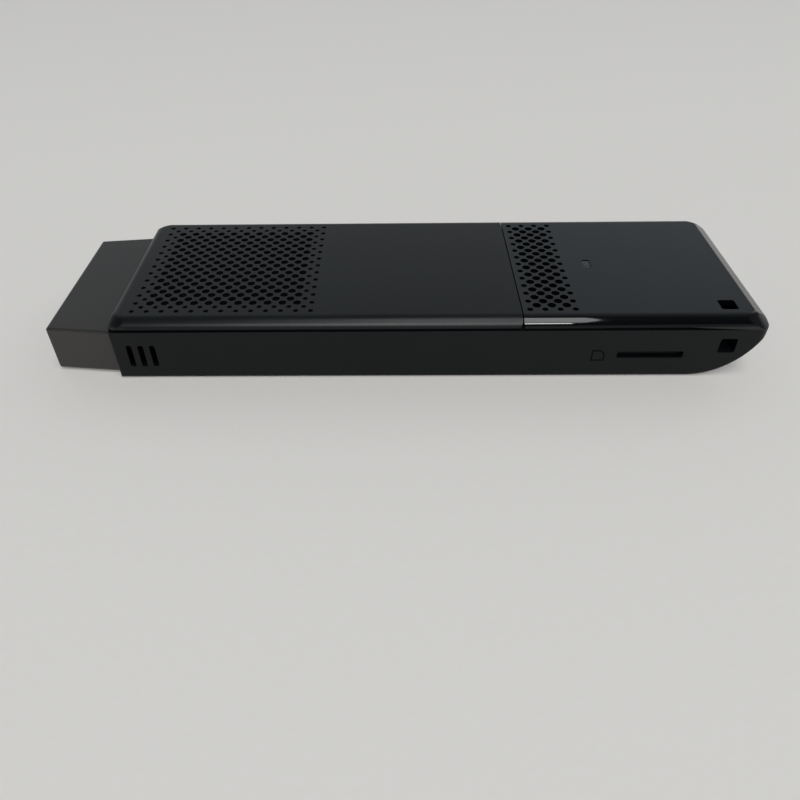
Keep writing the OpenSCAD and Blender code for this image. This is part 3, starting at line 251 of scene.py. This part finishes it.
def board_laminate(name):
    """Glass-fibre laminate under green solder mask: short, thin copper tracks, laid like bricks in rows
    0.6 mm apart, lift the mask and show through it as a lighter green."""
    material, tree, output = new_material(name)
    place = add(tree, "ShaderNodeTexCoord").outputs["Object"]
    bright, dull = ((tone, tone, tone, 1.0) for tone in TRACK_TONES)
    track = add(tree, "ShaderNodeTexBrick",
                {"Scale": per_metre(TRACK_CELL_MM), "Mortar Size": TRACK_MARGIN,
                 "Color1": bright, "Color2": dull, "Mortar": (0, 0, 0, 1)}, {"Vector": place})
    tint = add(tree, "ShaderNodeMix", {"A": linear(MASK_COLOURS[0]), "B": linear(MASK_COLOURS[1])},
               {"Factor": track.outputs["Color"]}, data_type="RGBA")
    bump = add(tree, "ShaderNodeBump", {"Strength": TRACK_STRENGTH, "Distance": TRACK_HEIGHT},
               {"Height": track.outputs["Color"]})
    shader = add(tree, "ShaderNodeBsdfPrincipled", {"Roughness": MASK_ROUGHNESS},
                 {"Base Color": tint.outputs["Result"], "Normal": bump.outputs["Normal"]})
    tree.links.new(shader.outputs["BSDF"], output.inputs["Surface"])
    return material


def make_finishes():
    """The finish of each node and of the card sign, by name."""
    # ABS moulded against spark-eroded steel: near black, an even fine grain that kills sharp reflections
    shell = moulded_plastic("abs_fine_grain_moulded", colours=("#080b0d", "#0d1012"), roughness=(0.40, 0.46),
                            grain_mm=0.22, grain_depth_mm=0.005, edge_mm=0.12, specular=0.215)
    # ABS with a silkier grain than the shell: a soft band of light along the rolled edge
    satin = moulded_plastic("abs_satin_moulded", colours=("#080c0f", "#0e1215"), roughness=(0.32, 0.345),
                            grain_mm=0.18, grain_depth_mm=0.003, specular=0.33, corner_span=CORNER_SPAN)
    # ABS moulded against polished steel: piano gloss, clear reflections with a trace of flow waves
    gloss = moulded_plastic("abs_piano_gloss_moulded", colours=("#050709", "#080b0e"), roughness=(0.03, 0.06),
                            grain_mm=2.5, grain_depth_mm=0.0005)
    # Smoke-tinted polycarbonate, lightly etched: a warm dark grey with a broad, soft sheen
    smoke = moulded_plastic("polycarbonate_smoke_etched", colours=("#211f1e", "#282625"),
                            roughness=(0.38, 0.44), grain_mm=0.25, grain_depth_mm=0.003, edge_mm=0.1,
                            cloud_mm=9.0, specular=0.66)
    # Clear acrylic rod, polished by its mould: a faintly milky grey over the dark inside of the housing
    acrylic = moulded_plastic("acrylic_clear_moulded", colours=("#9aa3a8", "#a8b1b6"), roughness=(0.04, 0.07),
                              grain_mm=1.2, grain_depth_mm=0.0004,
                              surface={"Transmission Weight": 0.92, "IOR": 1.49})
    # Diffusing resin of the indicator chip: milky yellow
    resin = moulded_plastic("epoxy_diffusing_cast", colours=("#cfc9a6", "#ded9b8"), roughness=(0.30, 0.40),
                            grain_mm=0.2, grain_depth_mm=0.002)
    # Natural nylon, moulded: milky white with a dull sheen
    nylon = moulded_plastic("nylon_natural_moulded", colours=("#d3cec2", "#e0dcd0"), roughness=(0.45, 0.55),
                            grain_mm=0.3, grain_depth_mm=0.004)
    # Black nylon filled with glass fibre: dull, with a grain of fibre ends
    black_nylon = moulded_plastic("nylon_glass_filled_black", colours=("#111213", "#1b1c1d"),
                                  roughness=(0.50, 0.62), grain_mm=0.15, grain_depth_mm=0.006)
    # Blue nylon of the fast port's tongue, moulded: a strong blue with a dull sheen
    blue_nylon = moulded_plastic("nylon_blue_moulded", colours=("#17468f", "#1f56a8"), roughness=(0.42, 0.52),
                                 grain_mm=0.2, grain_depth_mm=0.004)
    # Moulding epoxy of chip packages: charcoal with fine silica specks
    epoxy = moulded_plastic("epoxy_silica_moulded", colours=("#141516", "#232425"), roughness=(0.55, 0.68),
                            grain_mm=0.12, grain_depth_mm=0.004)
    # Silicone pad filled with ceramic: soft, chalky blue-grey
    pad = moulded_plastic("silicone_ceramic_filled", colours=("#78888f", "#8797a0"), roughness=(0.70, 0.80),
                          grain_mm=0.3, grain_depth_mm=0.010)
    # Pressed ferrite: dark grey, slightly porous
    ferrite = moulded_plastic("ferrite_pressed", colours=("#2a2a2c", "#3a3a3c"), roughness=(0.45, 0.60),
                              grain_mm=0.2, grain_depth_mm=0.012)
    # Pad-printed ink: a dead black, flat film with hardly any reflection
    ink = moulded_plastic("ink_black_pad_printed", colours=("#040405", "#070708"), roughness=(0.80, 0.90),
                          grain_mm=0.1, grain_depth_mm=0.001, specular=0.05)
    # Nickel-plated steel strip, stamped: pale, with faint rolling streaks
    nickel = worked_metal("steel_strip_nickel_plated", colours=("#b3b2ae", "#c0bfbb"), roughness=(0.22, 0.27),
                          streak_mm=0.25, along="X", depth_mm=0.00008)
    # Steel strip of the fan lid in near black as painted shade: dark so that the grille's holes show the
    # shade inside the housing
    shade_black_sheet = worked_metal("steel_strip_painted_shade_black", colours=("#0d0e0f", "#141516"),
                               roughness=(0.45, 0.55), streak_mm=0.3, along="X")
    # Zinc-plated screw steel, cold headed: cool grey
    zinc = worked_metal("steel_zinc_plated_headed", colours=("#9ea1a4", "#b4b7ba"), roughness=(0.28, 0.40),
                        streak_mm=0.2, along="Z")
    # Hard-gold plating over copper alloy strip: warm yellow, smooth
    gold = worked_metal("copper_alloy_gold_plated", colours=("#c99c45", "#dcb35c"), roughness=(0.18, 0.28),
                        streak_mm=0.15, along="Y")
    # Bare copper sheet and wire: reddish, a little dulled by air
    copper = worked_metal("copper_sheet_rolled", colours=("#a8623d", "#c07a50"), roughness=(0.30, 0.42),
                          streak_mm=0.3, along="X")
    # Sintered bronze, turned: brownish and dull
    bronze = worked_metal("bronze_sintered_turned", colours=("#8a6a3c", "#a2814e"), roughness=(0.35, 0.48),
                          streak_mm=0.15, along="Z")
    # Laminate under solder mask: dark green, with the copper showing through
    laminate = board_laminate("glass_laminate_solder_mask")
    return {
        "bottom_shell": shell, "top_cover": satin, "end_cover": gloss, "plug_cap": smoke,
        "light_pipe": acrylic, "status_led": resin, "power_button": satin, "switch_plunger": nylon,
        "power_switch": black_nylon, "circuit_board": laminate, "board_screws": zinc,
        "video_plug_shell": nickel, "video_plug_core": black_nylon, "video_plug_contacts": gold,
        "fast_port_shell": nickel, "fast_port_tongue": blue_nylon, "fast_port_contacts": gold,
        "data_port_shell": nickel, "data_port_tongue": black_nylon, "data_port_contacts": gold,
        "power_inlet_shell": nickel, "power_inlet_tongue": black_nylon, "power_inlet_contacts": gold,
        "card_socket_base": black_nylon, "card_socket_cover": nickel, "card_contacts": gold,
        "card_slider": nylon, "card_spring": zinc, "processor": epoxy, "thermal_pad": pad,
        "heat_sink": copper, "memory_chips": epoxy, "storage_chip": epoxy, "wireless_module": nickel,
        "power_coils": ferrite, "shield_can": nickel, "antenna_films": copper, "fan_frame": black_nylon,
        # The fan lid takes the near-black sheet that paints the shade seen through the grille
        "fan_lid": shade_black_sheet, "fan_rotor": black_nylon, "fan_magnet": ferrite, "fan_shaft": zinc,
        "fan_bearing": bronze, "fan_stator": copper, "fan_screws": zinc, "fan_standoffs": bronze,
        "card_sign": ink,
    }


def dress_nodes(nodes, finishes):
    """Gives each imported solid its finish."""
    for name, node in nodes.items():
        node.data.materials.clear()
        node.data.materials.append(finishes[name])


def mesh_object(name, points, faces, material, smooth=False):
    """An object at the origin from an array of points and a list of faces."""
    mesh = bpy.data.meshes.new(name)
    mesh.from_pydata(points.tolist(), [], faces)
    mesh.polygons.foreach_set("use_smooth", np.full(len(faces), smooth))
    mesh.update()
    mesh.materials.append(material)
    made = bpy.data.objects.new(name, mesh)
    bpy.context.scene.collection.objects.link(made)
    return made


def card_outline():
    """Corners of a card standing upright, one upper corner cut off: along the wall and up it."""
    half_w, half_h = SIGN_SIZE[0] / 2, SIGN_SIZE[1] / 2
    corners = [(-half_w, -half_h), (half_w, -half_h), (half_w, half_h - SIGN_CUT),
               (half_w - SIGN_CUT, half_h), (-half_w, half_h)]
    return np.array(corners)


def inset(corners, depth):
    """The same outline drawn in by depth: each corner moves along the sum of its two inward normals,
    divided by one plus their product."""
    before = corners - np.roll(corners, 1, axis=0)
    after = np.roll(corners, -1, axis=0) - corners
    normal_before = np.stack([-before[:, 1], before[:, 0]], 1) / np.linalg.norm(before, axis=1)[:, None]
    normal_after = np.stack([-after[:, 1], after[:, 0]], 1) / np.linalg.norm(after, axis=1)[:, None]
    share = 1 + (normal_before * normal_after).sum(1)
    return corners + depth * (normal_before + normal_after) / share[:, None]


def card_sign(material):
    """Plain sign of a card beside the card slot: a flat band, SIGN_LINE wide, that follows the card's
    outline. Its section is a low rectangle from SIGN_PROUD under the wall's face to SIGN_PROUD above it."""
    outer = card_outline()
    inner = inset(outer, SIGN_LINE)
    low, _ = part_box("bottom_shell")
    wall_y = low.y
    sunk_y = wall_y + SIGN_PROUD
    proud_y = wall_y - SIGN_PROUD
    rings = [(outer, sunk_y), (outer, proud_y), (inner, proud_y), (inner, sunk_y)]
    middle = np.array(SIGN_MIDDLE)
    points = np.concatenate([
        np.stack([middle[0] + ring[:, 0], np.full(len(ring), y), middle[1] + ring[:, 1]], 1)
        for ring, y in rings])
    count = len(outer)
    step = np.arange(count)
    ring_index, step_index = np.meshgrid(np.arange(len(rings)), step, indexing="ij")
    next_ring = (ring_index + 1) % len(rings)
    next_step = (step_index + 1) % count
    faces = np.stack([ring_index * count + step_index, ring_index * count + next_step,
                      next_ring * count + next_step, next_ring * count + step_index], -1).reshape(-1, 4)
    sign = mesh_object("card_sign", points, faces.tolist(), material)
    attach(sign, "case")


def push_spring(material):
    """Spring that brings the card out again: a round wire carried along a helix. The angle round the coil
    grows evenly with the way along it, and at each step the wire's section is a circle spanned by the
    direction out of the coil and the direction along it."""
    low, high = (np.array(corner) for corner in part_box("card_spring"))
    middle = (low + high) / 2
    coil = (high[0] - low[0] - SPRING_WIRE) / 2
    length = high[1] - low[1]
    count = SPRING_TURNS * SPRING_STEPS
    turn = np.linspace(0.0, 2 * math.pi * SPRING_TURNS, count + 1)[:, None]
    roll = np.linspace(0.0, 2 * math.pi, SPRING_SIDES, endpoint=False)[None, :]
    reach = coil + SPRING_WIRE / 2 * np.cos(roll)
    way = low[1] + SPRING_WIRE / 2 + (length - SPRING_WIRE) * turn / turn[-1]
    points = np.stack([middle[0] + reach * np.cos(turn), way + SPRING_WIRE / 2 * np.sin(roll),
                       middle[2] + reach * np.sin(turn)], -1).reshape(-1, 3)
    step, side = np.meshgrid(np.arange(count), np.arange(SPRING_SIDES), indexing="ij")
    here = step * SPRING_SIDES + side
    beside = step * SPRING_SIDES + (side + 1) % SPRING_SIDES
    skin = np.stack([here, beside, beside + SPRING_SIDES, here + SPRING_SIDES], -1).reshape(-1, 4)
    near_end = np.arange(SPRING_SIDES)[::-1]
    far_end = np.arange(SPRING_SIDES) + count * SPRING_SIDES
    spring = mesh_object("card_spring_coil", points, skin.tolist() + [near_end.tolist(), far_end.tolist()],
                         material, smooth=True)
    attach(spring, "case")
    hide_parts("card_spring")
    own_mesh(spring)


def make_camera():
    """Camera at the photograph's place and angle."""
    data = bpy.data.cameras.new("photo_camera")
    data.lens = CAMERA_LENS
    data.sensor_width = SENSOR_WIDTH
    data.shift_x, data.shift_y = CAMERA_SHIFT
    data.clip_start = CAMERA_NEAR
    data.clip_end = CAMERA_FAR
    camera = bpy.data.objects.new("photo_camera", data)
    camera.location = CAMERA_PLACE
    camera.rotation_euler = [math.radians(turn) for turn in CAMERA_TURNS]
    bpy.context.scene.collection.objects.link(camera)
    bpy.context.scene.camera = camera


def paper_floor():
    """Pale matt paper: nearly even, with a faint tooth."""
    material, tree, output = new_material("paper_matt_pale")
    place = add(tree, "ShaderNodeTexCoord").outputs["Object"]
    tooth = add(tree, "ShaderNodeTexNoise", {"Scale": per_metre(TOOTH_MM), "Detail": TOOTH_DETAIL},
                {"Vector": place})
    tint = add(tree, "ShaderNodeMix", {"A": linear(FLOOR_COLOURS[0]), "B": linear(FLOOR_COLOURS[1])},
               {"Factor": tooth.outputs["Fac"]}, data_type="RGBA")
    bump = add(tree, "ShaderNodeBump", {"Strength": TOOTH_STRENGTH, "Distance": TOOTH_HEIGHT},
               {"Height": tooth.outputs["Fac"]})
    shader = add(tree, "ShaderNodeBsdfPrincipled",
                 {"Roughness": PAPER_ROUGHNESS, "Specular IOR Level": PAPER_SHEEN},
                 {"Base Color": tint.outputs["Result"], "Normal": bump.outputs["Normal"]})
    tree.links.new(shader.outputs["BSDF"], output.inputs["Surface"])
    return material


def make_floor():
    """Square of pale paper under the object."""
    corners = np.array([[-1, -1], [1, -1], [1, 1], [-1, 1]]) * FLOOR_HALF
    corners = np.column_stack([corners, np.full(len(corners), -FLOOR_DROP)])
    mesh_object("floor", corners, [[0, 1, 2, 3]], paper_floor())


def make_room():
    """Room as light from all round, worked out from a ray's direction. Low down it has the horizon's light.
    Higher up it has the sides' light where the ray points far to a side, and between the sides the light
    goes from dark at the camera's side, past overhead, to pale and cool at the far side."""
    world = bpy.data.worlds.new("studio")
    world.use_nodes = True
    tree = world.node_tree
    tree.nodes.clear()
    ray = add(tree, "ShaderNodeTexCoord").outputs["Generated"]
    axes = add(tree, "ShaderNodeSeparateXYZ", links={"Vector": ray})
    depth = add(tree, "ShaderNodeMapRange", {"From Min": DEPTH_ENDS[0], "From Max": DEPTH_ENDS[1]},
                {"Value": axes.outputs["Y"]})
    ramp = add(tree, "ShaderNodeValToRGB", links={"Fac": depth.outputs["Result"]})
    ramp.color_ramp.elements.new(ROOM_LIGHT[1][0])
    for element, (position, level) in zip(ramp.color_ramp.elements, ROOM_LIGHT):
        element.position = position
        element.color = (*(level * share for share in ROOM_TINT), 1.0)
    height = add(tree, "ShaderNodeMapRange", {"From Min": HORIZON_RISE[0], "From Max": HORIZON_RISE[1]},
                 {"Value": axes.outputs["Z"]}, interpolation_type="SMOOTHSTEP")
    sideways = add(tree, "ShaderNodeMath", links={0: axes.outputs["X"]}, operation="ABSOLUTE")
    reach = add(tree, "ShaderNodeMapRange", {"From Min": SIDE_REACH[0], "From Max": SIDE_REACH[1]},
                {"Value": sideways.outputs[0]}, interpolation_type="SMOOTHSTEP")
    side = add(tree, "ShaderNodeMapRange",
               {"From Min": SIDE_TURN[0], "From Max": SIDE_TURN[1],
                "To Min": SIDE_LIGHT[0], "To Max": SIDE_LIGHT[1]},
               {"Value": axes.outputs["Y"]}, interpolation_type="SMOOTHSTEP")
    share = add(tree, "ShaderNodeMapRange",
                {"From Min": -SIDE_REACH[0], "From Max": SIDE_REACH[0],
                 "To Min": SIDE_SHARES[0], "To Max": SIDE_SHARES[1]}, {"Value": axes.outputs["X"]})
    shared = add(tree, "ShaderNodeMath", links={0: side.outputs["Result"], 1: share.outputs["Result"]},
                 operation="MULTIPLY")
    walls = add(tree, "ShaderNodeMix",
                links={"Factor": reach.outputs["Result"], "A": ramp.outputs["Color"],
                       "B": shared.outputs[0]}, data_type="RGBA")
    low_down = add(tree, "ShaderNodeMapRange",
                   {"From Min": HORIZON_TURN[0], "From Max": HORIZON_TURN[1],
                    "To Min": HORIZON_LIGHT[0], "To Max": HORIZON_LIGHT[1]},
                   {"Value": axes.outputs["Y"]}, interpolation_type="SMOOTHSTEP")
    level = add(tree, "ShaderNodeMix",
                links={"Factor": height.outputs["Result"], "A": low_down.outputs["Result"],
                       "B": walls.outputs["Result"]}, data_type="RGBA")
    light = add(tree, "ShaderNodeBackground", links={"Color": level.outputs["Result"]})
    output = add(tree, "ShaderNodeOutputWorld")
    tree.links.new(light.outputs["Background"], output.inputs["Surface"])
    bpy.context.scene.world = world


def soft_lamp(name, lowest, highest, left, right, brightness):
    """Flat soft lamp on the camera's side that fills the heights from lowest to highest and the width from
    left to right, as seen from the object. A side is the distance times the difference of the tangents of
    its ends, and the power is brightness times pi times the area."""
    middle = math.radians((lowest + highest) / 2)
    ends = [LAMP_DISTANCE * math.tan(math.radians(angle)) for angle in (left, right)]
    data = bpy.data.lights.new(name, "AREA")
    data.shape = "RECTANGLE"
    data.size = ends[1] - ends[0]
    data.size_y = 2 * LAMP_DISTANCE * math.tan(math.radians((highest - lowest) / 2))
    data.energy = brightness * math.pi * data.size * data.size_y
    lamp = bpy.data.objects.new(name, data)
    lamp.location = (sum(ends) / 2, -LAMP_DISTANCE * math.cos(middle), LAMP_DISTANCE * math.sin(middle))
    lamp.rotation_euler = (math.pi / 2 - middle, 0.0, 0.0)
    bpy.context.scene.collection.objects.link(lamp)


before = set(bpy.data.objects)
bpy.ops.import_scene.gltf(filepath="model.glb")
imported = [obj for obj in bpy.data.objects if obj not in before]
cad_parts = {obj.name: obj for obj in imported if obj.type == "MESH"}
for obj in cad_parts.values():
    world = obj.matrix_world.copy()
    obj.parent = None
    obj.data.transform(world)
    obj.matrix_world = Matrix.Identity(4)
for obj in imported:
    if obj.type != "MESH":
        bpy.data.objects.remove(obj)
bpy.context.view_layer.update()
bpy.context.scene.view_settings.view_transform = "Standard"
make_camera()
make_floor()
make_room()
for lamp_name, lamp_values in LAMPS.items():
    soft_lamp(lamp_name, *lamp_values)
finishes = make_finishes()
dress_nodes(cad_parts, finishes)
card_sign(finishes["card_sign"])
push_spring(finishes["card_spring"])
